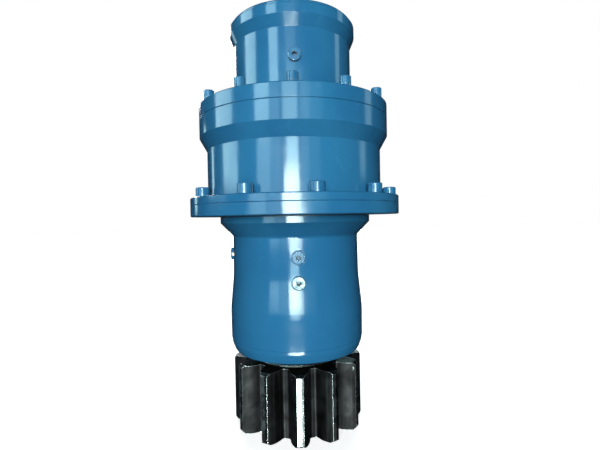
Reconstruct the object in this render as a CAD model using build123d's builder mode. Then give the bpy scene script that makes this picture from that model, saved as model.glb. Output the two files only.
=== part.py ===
from build123d import *

import os
from math import acos, cos, degrees, pi, radians, sin, tan

# Slewing gearbox: a three-stage planetary reducer with a spring-applied disc brake and an output pinion.
#
# The axis of the gearbox is Z. The origin is the centre of the mounting spigot, in the plane of the flange
# face that rests on the machine, +Z points to the motor end and the pinion hangs below. All sizes are in mm.
# The oil plugs face the front, which is -Y.

# ---------------------------------------------------------------- driving dimensions
FRONT = -90.0  # the direction of the oil plugs, as an angle in the XY plane
GAP = 0.05  # radial clearance of a running or locating fit

# outside of the housings
FLANGE_R = 190.5
FLANGE_T = 20.0
RING_FLANGE_TOP = 33.0
PILOT_R = 138.0
PILOT_DEPTH = 13.0
NECK_R = 115.5
NECK_TOP = -35.5
NECK_BOTTOM = -106.0
BULGE_R = 122.2
BULGE_TOP = -167.0
BULGE_END = -219.0
HOUSING_BOTTOM = -241.0
RING_BODY_R = 159.0
RING_HEAD_R = 172.0
RING_TOP = 172.0
COVER_TOP = 196.0
BRAKE_BODY_R = 107.0
BRAKE_RIM_R = 115.0
BRAKE_TOP = 341.0
MOTOR_FLANGE_R = 111.0
MOTOR_FACE = 348.0
SPIGOT_R = 145.0
SPIGOT_H = 7.0
JOINT_RING_R = 149.0  # O-rings of the two big joints
TOP_RING_R = 91.0  # O-ring under the motor flange
EDGE = 1.5  # usual edge break on the castings

# gear train: every stage has a fixed ring gear, a driving sun and a driven planet carrier
PRESSURE_ANGLE = radians(20)
MAIN_MODULE = 5.0
MAIN_SUN_TEETH = 18
MAIN_PLANET_TEETH = 18
MAIN_RING_TEETH = 54
INPUT_MODULE = 2.5
INPUT_SUN_TEETH = 18
INPUT_PLANET_TEETH = 24
INPUT_RING_TEETH = 66
MAIN_BACKLASH = 0.5
INPUT_BACKLASH = 0.4
OUTPUT_PLANETS = 4
UPPER_PLANETS = 3
MAIN_CENTRES = MAIN_MODULE * (MAIN_SUN_TEETH + MAIN_PLANET_TEETH) / 2
INPUT_CENTRES = INPUT_MODULE * (INPUT_SUN_TEETH + INPUT_PLANET_TEETH) / 2

# heights of the stages
RING_TEETH_Z = (40.0, 160.0)
OUTPUT_GEAR_Z = (40.0, 100.0)
MIDDLE_GEAR_Z = (127.0, 159.0)
INPUT_GEAR_Z = (175.0, 203.0)
INPUT_RING_Z = (174.0, 206.0)
INPUT_RING_R = 92.0

# output pinion
PINION_MODULE = 16.0
PINION_TEETH = 12
PINION_SHIFT = 0.7
PINION_TIP_R = 118.0
PINION_ROOT_R = 87.2
PINION_Z = (-377.5, -259.5)
PINION_PHASE = FRONT - 0.6
TOOTH_BEVEL = 4.0

# output shaft and its bearings
SEAL_JOURNAL_R = 70.0
LOWER_BEARING_Z = (-205.0, -143.0)
UPPER_BEARING_Z = (-56.0, -4.0)
LOWER_BORE_R = 100.0
UPPER_BORE_R = 82.5
ROLLER_RIB = 4.0
CARRIER_SPLINE = (24, 43.0, 46.0)  # teeth, root radius, tip radius
SUN_SPLINE = (16, 24.0, 28.0)
HUB_SPLINE = (24, 37.0, 40.0)
DISC_SPLINE = (24, 72.5, 77.0)

# brake
BRAKE_FLOOR = 218.0
SEAL_BORE_R = 78.0
SEAL_BORE_Z = 250.5
PISTON_BORE_R = 88.0
PISTON_STEP_Z = 256.0
PISTON_Z = (250.4, 262.0, 300.0)  # pressing face, shoulder, top
OUTER_DISCS = 6
OUTER_DISC_T = 2.5
INNER_DISC_T = 3.0
DISC_GAP = 0.2
SPRINGS = 8
SPRING_CIRCLE_R = 72.0
SPRING_R = 7.0
SPRING_WIRE_R = 1.3
SPRING_Z = (276.0, 316.0)

# motor interface
MOTOR_PILOT_R = 50.85
MOTOR_BOLT_CIRCLE_R = 63.5
MOTOR_SHAFT_R = 16.0
MOTOR_SHAFT_DEPTH = 65.0
KEY_WIDTH = 10.0
KEY_TOP_R = 19.3
INPUT_TOP = 333.0
INPUT_BEARING_Z = (319.0, 335.0)
BALL_R = 5.0
BALL_CIRCLE_R = 32.475
BALL_Z = 325.95

# fasteners
FLANGE_SCREWS = 10
FLANGE_CIRCLE_R = 175.0
FLANGE_SCREW_PHASE = FRONT + 9.0
MOUNTING_HOLE_R = 8.75
RING_SCREWS = 12
RING_CIRCLE_R = 162.0
RING_SCREW_PHASE = FRONT - 2.0
MOTOR_SCREWS = 8
MOTOR_SCREW_CIRCLE_R = 98.0

# oil and brake ports: height, direction and radius of the seat
PLUG_SEATS = {
    "brake_port_plug": (259.0, FRONT, 106.2),
    "oil_level_plug": (-68.7, FRONT, 115.2),
    "oil_drain_plug": (-109.4, FRONT, 116.0),
    "side_port_plug": (-68.7, FRONT - 90, 115.2),
}
LOWER_PLUGS = ("oil_level_plug", "oil_drain_plug", "side_port_plug")
PLUG_THREAD_R = 8.3
PLUG_COLLAR_R = 11.0
PLUG_SEAL_T = 1.5

os.makedirs("parts", exist_ok=True)


# ---------------------------------------------------------------- outlines
def polar(radius, angle):
    """A point of the XY plane at a radius and an angle in degrees."""
    return (radius * cos(radians(angle)), radius * sin(radians(angle)))


def involute(angle):
    return tan(angle) - angle


def gear_outline(module, teeth, root_r, tip_r, tooth_width, fillet_r=0):
    """The outline of a spur gear with a tooth on the X axis, each flank one arc through three points of its
    involute. tooth_width is measured on the pitch circle. A ring gear's bore has the same kind of outline."""
    pitch_r = module * teeth / 2
    base_r = pitch_r * cos(PRESSURE_ANGLE)
    foot_r = root_r if fillet_r else max(base_r, root_r)

    def half_angle(radius):
        here = acos(base_r / radius) if radius > base_r else 0
        return degrees(tooth_width / 2 / pitch_r + involute(PRESSURE_ANGLE) - involute(here))

    radii = (foot_r, (foot_r + tip_r) / 2, tip_r)
    with BuildSketch(mode=Mode.PRIVATE) as outline:
        with BuildLine():
            for number in range(teeth):
                middle = 360 * number / teeth
                rise = [polar(r, middle - half_angle(r)) for r in radii]
                fall = [polar(r, middle + half_angle(r)) for r in reversed(radii)]
                roots = [polar(root_r, middle + side * half_angle(foot_r)) for side in (-1, 1)]
                next_root = polar(root_r, middle + 360 / teeth - half_angle(foot_r))
                if foot_r > root_r:
                    Line(roots[0], rise[0])
                    Line(fall[2], roots[1])
                ThreePointArc(*rise)
                ThreePointArc(rise[2], polar(tip_r, middle), fall[0])
                ThreePointArc(*fall)
                ThreePointArc(roots[1], polar(root_r, middle + 180 / teeth), next_root)
        make_face()
        if fillet_r:
            feet = outline.vertices().filter_by(lambda v: Vector(v.X, v.Y).length < root_r + 0.01)
            fillet(feet, fillet_r)
    return outline.sketch


def external_gear(module, teeth, backlash, phase):
    """The outline of a standard gear, thinned by half the backlash, with a tooth at the phase angle."""
    pitch_r = module * teeth / 2
    width = pi * module / 2 - backlash / 2
    return gear_outline(module, teeth, pitch_r - 1.25 * module, pitch_r + module, width).rotate(Axis.Z, phase)


def internal_gear(module, teeth, backlash, phase):
    """The outline of a ring gear's bore, with a space at the phase angle, widened by half the backlash."""
    pitch_r = module * teeth / 2
    width = pi * module / 2 + backlash / 2
    return gear_outline(module, teeth, pitch_r - module, pitch_r + 1.25 * module, width).rotate(Axis.Z, phase)


def spline_outline(teeth, root_r, tip_r, grow=0):
    """A straight-sided spline with teeth as wide as its spaces, enlarged all round by grow."""
    width = pi * root_r / teeth + 2 * grow
    with BuildSketch(mode=Mode.PRIVATE) as outline:
        Circle(root_r + grow)
        with PolarLocations(0, teeth):
            with Locations(((root_r + tip_r + grow) / 2, 0)):
                Rectangle(tip_r - root_r + grow + 2, width)
        Circle(tip_r + grow, mode=Mode.INTERSECT)
    return outline.sketch


def planet_phase(direction, sun_teeth, planet_teeth):
    """The angle of one of a planet's teeth, so that a gap of the planet faces a tooth of a sun whose tooth
    lies on the front axis."""
    at_sun = ((direction - FRONT) * sun_teeth / 360) % 1
    return direction + 180 - (0.5 - at_sun) * 360 / planet_teeth


def ring_phase(sun_teeth, planet_teeth, ring_teeth):
    """The angle of a space of the ring gear, in mesh with the planet on the front axis."""
    at_planet = ((FRONT - planet_phase(FRONT, sun_teeth, planet_teeth)) * planet_teeth / 360) % 1
    return FRONT - at_planet * 360 / ring_teeth


# ---------------------------------------------------------------- repeated shapes
def tube(inner_r, outer_r, z0, z1):
    """A ring between two heights, or a solid disc when inner_r is 0."""
    with BuildPart() as ring:
        with BuildSketch(Plane.XY.offset(z0)):
            Circle(outer_r)
            if inner_r:
                Circle(inner_r, mode=Mode.SUBTRACT)
        extrude(amount=z1 - z0)
    return ring.part


def torus(centre_r, section_r, z):
    """A ring of round section that lies flat at a height."""
    with BuildPart() as ring:
        with BuildSketch(Plane.XZ):
            with Locations((centre_r, z)):
                Circle(section_r)
        revolve(axis=Axis.Z)
    return ring.part


def snap_ring(inner_r, outer_r, z0, z1, opening):
    """A retaining ring with an opening at the back."""
    with BuildPart() as ring:
        with BuildSketch(Plane.XY.offset(z0)):
            Circle(outer_r)
            Circle(inner_r, mode=Mode.SUBTRACT)
            with Locations((0, (inner_r + outer_r) / 2)):
                Rectangle(opening, 3 * (outer_r - inner_r), mode=Mode.SUBTRACT)
        extrude(amount=z1 - z0)
    return ring.part


def socket_screw(radius, head_r, head_h, top, length):
    """A socket-head cap screw that hangs from its head's top at a height."""
    with BuildPart() as screw:
        with BuildSketch(Plane.XY.offset(top - head_h)):
            Circle(head_r)
        extrude(amount=head_h)
        chamfer(screw.edges().group_by(Axis.Z)[-1], head_h * 0.08)
        with BuildSketch(Plane.XY.offset(top)):
            RegularPolygon(radius * 0.86, 6)
        extrude(amount=-head_h * 0.55, mode=Mode.SUBTRACT)
        with BuildSketch(Plane.XY.offset(top - head_h)):
            Circle(radius - GAP)
        extrude(amount=-length)
        chamfer(screw.edges().group_by(Axis.Z)[0], 1)
    return screw.part


def outward_plane(height, direction, radius):
    """A plane that faces away from the axis, at a height, a direction and a radius."""
    return Plane(origin=(*polar(radius, direction), height), x_dir=(0, 0, 1), z_dir=(*polar(1, direction), 0))


def plug_port(height, direction, seat_r, depth):
    """The cutter for a plug's seat, its thread and the drilling behind it."""
    seat = outward_plane(height, direction, seat_r)
    with BuildPart() as port:
        with BuildSketch(seat):
            Circle(PLUG_COLLAR_R + 1)
        extrude(amount=10)
        with BuildSketch(seat):
            Circle(PLUG_THREAD_R + GAP)
        extrude(amount=-13)
        with BuildSketch(seat):
            Circle(2.9)
        extrude(amount=-depth)
    return port.part


def roller_bearing(name, bore_r, inner_race_r, outer_race_r, outer_r, heights, count):
    """Writes a double-row roller bearing: inner ring with three ribs, outer ring and two rows of rollers."""
    z0, z1 = heights
    rib_r = inner_race_r + 0.35 * (outer_race_r - inner_race_r)
    row = (z1 - z0 - 3 * ROLLER_RIB) / 2
    row_starts = (z0 + ROLLER_RIB, z0 + 2 * ROLLER_RIB + row)

    with BuildPart() as inner_ring:
        with BuildSketch(Plane.XY.offset(z0)):
            Circle(rib_r)
            Circle(bore_r, mode=Mode.SUBTRACT)
        extrude(amount=z1 - z0)
        for start in row_starts:
            with BuildSketch(Plane.XY.offset(start)):
                Circle(rib_r)
                Circle(inner_race_r, mode=Mode.SUBTRACT)
            extrude(amount=row, mode=Mode.SUBTRACT)
    inner_ring.part.label = f"{name}_inner_ring"
    export_step(inner_ring.part, f"parts/{name}_inner_ring.step")

    with BuildPart() as outer_ring:
        with BuildSketch(Plane.XY.offset(z0)):
            Circle(outer_r)
            Circle(outer_race_r, mode=Mode.SUBTRACT)
        extrude(amount=z1 - z0)
    outer_ring.part.label = f"{name}_outer_ring"
    export_step(outer_ring.part, f"parts/{name}_outer_ring.step")

    with BuildPart() as rollers:
        for start in row_starts:
            with BuildSketch(Plane.XY.offset(start + 0.2)):
                with PolarLocations((inner_race_r + outer_race_r) / 2, count):
                    Circle((outer_race_r - inner_race_r) / 2 - GAP)
            extrude(amount=row - 0.4)
    rollers.part.label = f"{name}_rollers"
    export_step(rollers.part, f"parts/{name}_rollers.step")


def planets(stage, module, sun_teeth, planet_teeth, backlash, count, bore_r, heights):
    """Writes the planets of a stage, one part each, in mesh with the sun and the ring."""
    z0, z1 = heights
    centres = module * (sun_teeth + planet_teeth) / 2
    for number in range(count):
        direction = FRONT + 360 * number / count
        gear = external_gear(module, planet_teeth, backlash, planet_phase(direction, sun_teeth, planet_teeth))
        with BuildPart() as planet:
            with BuildSketch(Plane.XY.offset(z0 + 0.5)):
                with Locations(polar(centres, direction)):
                    add(gear)
                    Circle(bore_r, mode=Mode.SUBTRACT)
            extrude(amount=z1 - z0 - 1)
        planet.part.label = f"{stage}_planet_{number + 1}"
        export_step(planet.part, f"parts/{stage}_planet_{number + 1}.step")


def planet_supports(stage, centres, count, pin_r, bush_r, pin_heights, gear_heights):
    """Writes the pins of a stage's carrier, and the bushes that its planets run on."""
    with BuildPart() as pins:
        with BuildSketch(Plane.XY.offset(pin_heights[0])):
            with PolarLocations(centres, count, FRONT):
                Circle(pin_r - GAP)
        extrude(amount=pin_heights[1] - pin_heights[0])
    pins.part.label = f"{stage}_planet_pins"
    export_step(pins.part, f"parts/{stage}_planet_pins.step")

    with BuildPart() as bushes:
        with BuildSketch(Plane.XY.offset(gear_heights[0] + 0.5)):
            with PolarLocations(centres, count, FRONT):
                Circle(bush_r)
                Circle(pin_r - GAP / 2, mode=Mode.SUBTRACT)
        extrude(amount=gear_heights[1] - gear_heights[0] - 1)
    bushes.part.label = f"{stage}_planet_bushes"
    export_step(bushes.part, f"parts/{stage}_planet_bushes.step")


def plate_carrier(stage, plate_r, z0, z1, centres, pin_r):
    """Writes a one-plate carrier with pin holes and a splined bore for the next sun."""
    bore = spline_outline(*SUN_SPLINE, grow=0.05)
    with BuildPart() as carrier:
        with BuildSketch(Plane.XY.offset(z0)):
            Circle(plate_r)
            with PolarLocations(centres, UPPER_PLANETS, FRONT):
                Circle(pin_r, mode=Mode.SUBTRACT)
            add(bore, mode=Mode.SUBTRACT)
        extrude(amount=z1 - z0)
        chamfer(carrier.faces().sort_by(Axis.Z)[0].outer_wire().edges(), 1.5)
    carrier.part.label = f"{stage}_carrier"
    export_step(carrier.part, f"parts/{stage}_carrier.step")


def sun_gear(stage, z0, z1, spline_top):
    """Writes a sun gear of the main module, with a splined end above its teeth."""
    gear = external_gear(MAIN_MODULE, MAIN_SUN_TEETH, MAIN_BACKLASH, FRONT)
    spline = spline_outline(*SUN_SPLINE)
    with BuildPart() as sun:
        with BuildSketch(Plane.XY.offset(z0)):
            add(gear)
        extrude(amount=z1 - z0)
        with BuildSketch(Plane.XY.offset(z1)):
            add(spline)
        extrude(amount=spline_top - z1)
        with BuildSketch(Plane.XY.offset(z0)):
            Circle(12)
        extrude(amount=spline_top - z0, mode=Mode.SUBTRACT)
    sun.part.label = f"{stage}_sun_gear"
    export_step(sun.part, f"parts/{stage}_sun_gear.step")


# ---------------------------------------------------------------- housings
lower_ports = [plug_port(*PLUG_SEATS[name], depth=32) for name in LOWER_PLUGS]
upper_port = plug_port(*PLUG_SEATS["brake_port_plug"], depth=22)

# lower casting: mounting flange, spigot, neck and bearing bulge
with BuildPart() as output_housing:
    with BuildSketch(Plane.XZ) as housing_section:
        with BuildLine():
            Polyline(
                (SPIGOT_R - GAP, FLANGE_T + SPIGOT_H),
                (SPIGOT_R - GAP, FLANGE_T),
                (FLANGE_R - 0.6, FLANGE_T),
                (FLANGE_R, FLANGE_T - 0.6),
                (FLANGE_R, EDGE),
                (FLANGE_R - EDGE, 0),
                (PILOT_R, 0),
                (PILOT_R, 1 - PILOT_DEPTH),
                (PILOT_R - 1, -PILOT_DEPTH),
                (NECK_R, NECK_TOP),
                (NECK_R + 0.8, NECK_BOTTOM),
                (BULGE_R, BULGE_TOP),
                (BULGE_R - 0.5, BULGE_END),
                (BULGE_R - 1.3, BULGE_END - 0.6),
                (BULGE_R - 1.5, BULGE_END - 7),
                (116.8, HOUSING_BOTTOM + 4),
                (114.5, HOUSING_BOTTOM),
                (LOWER_BORE_R, HOUSING_BOTTOM),
                (LOWER_BORE_R, LOWER_BEARING_Z[1]),
                (88, LOWER_BEARING_Z[1]),
                (88, UPPER_BEARING_Z[0] - 6),
                (75, UPPER_BEARING_Z[0] - 6),
                (75, UPPER_BEARING_Z[0]),
                (UPPER_BORE_R, UPPER_BEARING_Z[0]),
                (UPPER_BORE_R, -2),
                (126, -2),
                (126, FLANGE_T + SPIGOT_H),
                close=True,
            )
        make_face()
        # the casting's blends: under the spigot, from neck to cone, from cone to bulge, and at the lower edge
        for corner, blend in (
            ((NECK_R, NECK_TOP), 6),
            ((NECK_R + 0.8, NECK_BOTTOM), 250),
            ((BULGE_R, BULGE_TOP), 150),
            ((BULGE_R - 1.5, BULGE_END - 7), 16),
        ):
            fillet(housing_section.vertices().sort_by_distance(corner)[0], blend)
    revolve(axis=Axis.Z)
    # tapped holes for the flange screws, and clear holes for the mounting bolts
    with BuildSketch():
        with PolarLocations(FLANGE_CIRCLE_R, FLANGE_SCREWS, FLANGE_SCREW_PHASE):
            Circle(8)
        with PolarLocations(FLANGE_CIRCLE_R, FLANGE_SCREWS, FLANGE_SCREW_PHASE + 18):
            Circle(MOUNTING_HOLE_R)
    extrude(amount=FLANGE_T, mode=Mode.SUBTRACT)
    # dowel holes
    with BuildSketch(Plane.XY.offset(4)):
        with PolarLocations(FLANGE_CIRCLE_R, 2, FRONT):
            Circle(5)
    extrude(amount=FLANGE_T, mode=Mode.SUBTRACT)
    # O-ring groove
    with BuildSketch(Plane.XY.offset(FLANGE_T)):
        Circle(JOINT_RING_R + 2.5)
        Circle(JOINT_RING_R - 2.5, mode=Mode.SUBTRACT)
    extrude(amount=-3, mode=Mode.SUBTRACT)
    add(lower_ports, mode=Mode.SUBTRACT)
output_housing.part.label = "output_housing"
export_step(output_housing.part, "parts/output_housing.step")

# big body: lower flange, shell with the internal teeth of both slow stages, and thick upper end
main_ring_spaces = internal_gear(
    MAIN_MODULE, MAIN_RING_TEETH, MAIN_BACKLASH, ring_phase(MAIN_SUN_TEETH, MAIN_PLANET_TEETH, MAIN_RING_TEETH)
)
with BuildPart() as ring_gear_housing:
    with BuildSketch(Plane.XZ):
        with BuildLine():
            Polyline(
                (SPIGOT_R, FLANGE_T),
                (FLANGE_R - 0.6, FLANGE_T),
                (FLANGE_R, FLANGE_T + 0.6),
                (FLANGE_R, RING_FLANGE_TOP - EDGE),
                (FLANGE_R - EDGE, RING_FLANGE_TOP),
                (RING_BODY_R + 1, RING_FLANGE_TOP),
                (RING_BODY_R, RING_FLANGE_TOP + 1),
                (RING_BODY_R, 117),
                (RING_HEAD_R, 140),
                (RING_HEAD_R, RING_TOP - 0.8),
                (RING_HEAD_R - 0.8, RING_TOP),
                (SPIGOT_R, RING_TOP),
                (SPIGOT_R, RING_TEETH_Z[1]),
                (120, RING_TEETH_Z[1]),
                (120, RING_TEETH_Z[0]),
                (SPIGOT_R, RING_TEETH_Z[0]),
                close=True,
            )
        make_face()
    revolve(axis=Axis.Z)
    with BuildSketch(Plane.XY.offset(RING_TEETH_Z[0])):
        add(main_ring_spaces)
    extrude(amount=RING_TEETH_Z[1] - RING_TEETH_Z[0], mode=Mode.SUBTRACT)
    with BuildSketch(Plane.XY.offset(FLANGE_T)):
        with PolarLocations(FLANGE_CIRCLE_R, FLANGE_SCREWS, FLANGE_SCREW_PHASE):
            Circle(8.5)
        with PolarLocations(FLANGE_CIRCLE_R, FLANGE_SCREWS, FLANGE_SCREW_PHASE + 18):
            Circle(MOUNTING_HOLE_R)
    extrude(amount=RING_FLANGE_TOP - FLANGE_T, mode=Mode.SUBTRACT)
    with BuildSketch(Plane.XY.offset(FLANGE_T)):
        with PolarLocations(FLANGE_CIRCLE_R, 2, FRONT):
            Circle(5)
    extrude(amount=8, mode=Mode.SUBTRACT)
    with BuildSketch(Plane.XY.offset(RING_TOP)):
        with PolarLocations(RING_CIRCLE_R, RING_SCREWS, RING_SCREW_PHASE):
            Circle(6)
    extrude(amount=-24, mode=Mode.SUBTRACT)
    with BuildSketch(Plane.XY.offset(RING_TOP)):
        Circle(JOINT_RING_R + 2.5)
        Circle(JOINT_RING_R - 2.5, mode=Mode.SUBTRACT)
    extrude(amount=-3, mode=Mode.SUBTRACT)
ring_gear_housing.part.label = "ring_gear_housing"
export_step(ring_gear_housing.part, "parts/ring_gear_housing.step")

# upper casting: closing flange, seat of the first ring gear, brake chamber and rim
disc_slots = spline_outline(*DISC_SPLINE, grow=0.15)
with BuildPart() as brake_housing:
    with BuildSketch(Plane.XZ):
        with BuildLine():
            Polyline(
                (INPUT_RING_R, RING_TOP - SPIGOT_H + 0.5),
                (SPIGOT_R - GAP, RING_TOP - SPIGOT_H + 0.5),
                (SPIGOT_R - GAP, RING_TOP),
                (RING_HEAD_R - 0.8, RING_TOP),
                (RING_HEAD_R, RING_TOP + 0.8),
                (RING_HEAD_R, COVER_TOP - EDGE),
                (RING_HEAD_R - EDGE, COVER_TOP),
                (BRAKE_BODY_R + 2, COVER_TOP),
                (BRAKE_BODY_R, COVER_TOP + 2),
                (BRAKE_BODY_R, 305.5),
                (BRAKE_RIM_R, 324),
                (BRAKE_RIM_R, BRAKE_TOP - EDGE),
                (BRAKE_RIM_R - EDGE, BRAKE_TOP),
                (PISTON_BORE_R, BRAKE_TOP),
                (PISTON_BORE_R, PISTON_STEP_Z),
                (SEAL_BORE_R, PISTON_STEP_Z),
                (SEAL_BORE_R, SEAL_BORE_Z),
                (60, SEAL_BORE_Z),
                (60, BRAKE_FLOOR),
                (34, BRAKE_FLOOR),
                (34, INPUT_RING_Z[1]),
                (INPUT_RING_R, INPUT_RING_Z[1]),
                close=True,
            )
        make_face()
    revolve(axis=Axis.Z)
    with BuildSketch(Plane.XY.offset(BRAKE_FLOOR)):
        add(disc_slots)
    extrude(amount=SEAL_BORE_Z - BRAKE_FLOOR, mode=Mode.SUBTRACT)
    with BuildSketch(Plane.XY.offset(RING_TOP)):
        with PolarLocations(RING_CIRCLE_R, RING_SCREWS, RING_SCREW_PHASE):
            Circle(6.5)
    extrude(amount=COVER_TOP - RING_TOP, mode=Mode.SUBTRACT)
    with BuildSketch(Plane.XY.offset(BRAKE_TOP)):
        with PolarLocations(MOTOR_SCREW_CIRCLE_R, MOTOR_SCREWS, FRONT + 22.5):
            Circle(4)
    extrude(amount=-16, mode=Mode.SUBTRACT)
    with BuildSketch(Plane.XY.offset(BRAKE_TOP)):
        Circle(TOP_RING_R + 1.8)
        Circle(TOP_RING_R - 1.8, mode=Mode.SUBTRACT)
    extrude(amount=-2.2, mode=Mode.SUBTRACT)
    add(upper_port, mode=Mode.SUBTRACT)
brake_housing.part.label = "brake_housing"
export_step(brake_housing.part, "parts/brake_housing.step")

# top plate: centres and carries the motor, holds the input bearing and backs up the brake springs
with BuildPart() as motor_flange:
    with BuildSketch(Plane.XZ):
        with BuildLine():
            Polyline(
                (35, SPRING_Z[1]),
                (35, INPUT_BEARING_Z[0]),
                (40, INPUT_BEARING_Z[0]),
                (40, INPUT_BEARING_Z[1]),
                (MOTOR_PILOT_R, INPUT_BEARING_Z[1]),
                (MOTOR_PILOT_R, MOTOR_FACE),
                (MOTOR_FLANGE_R - 3, MOTOR_FACE),
                (MOTOR_FLANGE_R, MOTOR_FACE - 3),
                (MOTOR_FLANGE_R, BRAKE_TOP),
                (PISTON_BORE_R - GAP, BRAKE_TOP),
                (PISTON_BORE_R - GAP, SPRING_Z[1] + 1),
                (PISTON_BORE_R - 1, SPRING_Z[1]),
                close=True,
            )
        make_face()
    revolve(axis=Axis.Z)
    # groove of the bearing circlip
    with BuildSketch(Plane.XY.offset(332.9)):
        Circle(41.5)
        Circle(39, mode=Mode.SUBTRACT)
    extrude(amount=2, mode=Mode.SUBTRACT)
    with BuildSketch(Plane.XY.offset(MOTOR_FACE)):
        with PolarLocations(MOTOR_BOLT_CIRCLE_R, 4, 45):
            Circle(5.1)
    extrude(amount=-24, mode=Mode.SUBTRACT)
    with Locations(Plane.XY.offset(MOTOR_FACE)):
        with PolarLocations(MOTOR_SCREW_CIRCLE_R, MOTOR_SCREWS, FRONT + 22.5):
            CounterSinkHole(4.3, counter_sink_radius=8.6, depth=MOTOR_FACE - BRAKE_TOP, counter_sink_angle=90)
motor_flange.part.label = "motor_flange"
export_step(motor_flange.part, "parts/motor_flange.step")

# ---------------------------------------------------------------- fasteners, plugs and static seals
flange_screw = socket_screw(8.0, 12.0, 16.0, RING_FLANGE_TOP + 16, 29)
with BuildPart() as flange_screws:
    with PolarLocations(FLANGE_CIRCLE_R, FLANGE_SCREWS, FLANGE_SCREW_PHASE):
        add(flange_screw)
flange_screws.part.label = "flange_screws"
export_step(flange_screws.part, "parts/flange_screws.step")

ring_screw = socket_screw(6.0, 9.0, 12.0, COVER_TOP + 15, 45)
with BuildPart() as ring_screws:
    with PolarLocations(RING_CIRCLE_R, RING_SCREWS, RING_SCREW_PHASE):
        add(ring_screw)
ring_screws.part.label = "ring_screws"
export_step(ring_screws.part, "parts/ring_screws.step")

# split lock washers under the ring screws
with BuildPart() as ring_screw_washers:
    with BuildSketch(Plane.XY.offset(COVER_TOP)):
        with PolarLocations(RING_CIRCLE_R, RING_SCREWS, RING_SCREW_PHASE):
            Circle(9)
            Circle(6.3, mode=Mode.SUBTRACT)
        with PolarLocations(RING_CIRCLE_R + 8, RING_SCREWS, RING_SCREW_PHASE):
            Rectangle(6, 1.2, mode=Mode.SUBTRACT)
    extrude(amount=3)
ring_screw_washers.part.label = "ring_screw_washers"
export_step(ring_screw_washers.part, "parts/ring_screw_washers.step")

# countersunk M8 screws, just below the top of the motor flange
with BuildPart() as motor_flange_screw:
    with BuildSketch(Plane.XZ):
        with BuildLine():
            Polyline(
                (0, MOTOR_FACE - 0.2),
                (8.2, MOTOR_FACE - 0.2),
                (4.2, MOTOR_FACE - 4.3),
                (3.95, MOTOR_FACE - 7),
                (3.95, MOTOR_FACE - 21),
                (0, MOTOR_FACE - 21),
                close=True,
            )
        make_face()
    revolve(axis=Axis.Z)
    with BuildSketch(Plane.XY.offset(MOTOR_FACE)):
        RegularPolygon(2.9, 6)
    extrude(amount=-3.0, mode=Mode.SUBTRACT)
with BuildPart() as motor_flange_screws:
    with PolarLocations(MOTOR_SCREW_CIRCLE_R, MOTOR_SCREWS, FRONT + 22.5):
        add(motor_flange_screw.part)
motor_flange_screws.part.label = "motor_flange_screws"
export_step(motor_flange_screws.part, "parts/motor_flange_screws.step")

with BuildPart() as flange_dowels:
    with BuildSketch(Plane.XY.offset(4.5)):
        with PolarLocations(FLANGE_CIRCLE_R, 2, FRONT):
            Circle(5 - GAP)
    extrude(amount=23)
flange_dowels.part.label = "flange_dowels"
export_step(flange_dowels.part, "parts/flange_dowels.step")

# hexagon-socket screw plugs with a collar
for name, (height, direction, seat_r) in PLUG_SEATS.items():
    collar_plane = outward_plane(height, direction, seat_r + PLUG_SEAL_T)
    with BuildPart() as plug:
        with BuildSketch(collar_plane):
            Circle(PLUG_COLLAR_R)
        extrude(amount=4)
        chamfer(plug.edges().sort_by(Axis((0, 0, 0), collar_plane.z_dir))[-1], 1)
        with BuildSketch(collar_plane):
            Circle(PLUG_THREAD_R)
        extrude(amount=-13)
        with BuildSketch(collar_plane.offset(4)):
            RegularPolygon(4.6, 6)
        extrude(amount=-7, mode=Mode.SUBTRACT)
    plug.part.label = name
    export_step(plug.part, f"parts/{name}.step")

with BuildPart() as plug_seal_rings:
    for seat in PLUG_SEATS.values():
        with BuildSketch(outward_plane(*seat)):
            Circle(PLUG_COLLAR_R - 0.2)
            Circle(PLUG_THREAD_R + 0.3, mode=Mode.SUBTRACT)
        extrude(amount=PLUG_SEAL_T)
plug_seal_rings.part.label = "plug_seal_rings"
export_step(plug_seal_rings.part, "parts/plug_seal_rings.step")

joint_rings = [torus(JOINT_RING_R, 1.45, FLANGE_T - 1.5), torus(JOINT_RING_R, 1.45, RING_TOP - 1.5)]
joint_rings += [torus(TOP_RING_R, 1.05, BRAKE_TOP - 1.1)]
with BuildPart() as joint_o_rings:
    add(joint_rings)
joint_o_rings.part.label = "joint_o_rings"
export_step(joint_o_rings.part, "parts/joint_o_rings.step")

# radial lip seal under the lower bearing
with BuildPart() as shaft_seal:
    with BuildSketch(Plane.XZ):
        with BuildLine():
            Polyline(
                (92 - GAP, -232),
                (92 - GAP, -219),
                (80, -219),
                (80, -222),
                (89, -222),
                (89, -229),
                (78, -229),
                (76, -222),
                (SEAL_JOURNAL_R + 3, -222),
                (SEAL_JOURNAL_R + GAP, -226),
                (SEAL_JOURNAL_R + 2, -230),
                (76, -232),
                close=True,
            )
        make_face()
    revolve(axis=Axis.Z)
shaft_seal.part.label = "shaft_seal"
export_step(shaft_seal.part, "parts/shaft_seal.step")

# ring that closes the lower bearing bore and carries the seal
with BuildPart() as seal_carrier:
    with BuildSketch(Plane.XZ):
        with BuildLine():
            Polyline(
                (LOWER_BORE_R - GAP, -236),
                (LOWER_BORE_R - GAP, -210),
                (84, -210),
                (84, -218.5),
                (92, -218.5),
                (92, -236),
                close=True,
            )
        make_face()
    revolve(axis=Axis.Z)
seal_carrier.part.label = "seal_carrier"
export_step(seal_carrier.part, "parts/seal_carrier.step")

bearing_snap_ring = snap_ring(92, LOWER_BORE_R - GAP, -209, -205.2, 12)
bearing_snap_ring.label = "bearing_snap_ring"
export_step(bearing_snap_ring, "parts/bearing_snap_ring.step")

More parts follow.
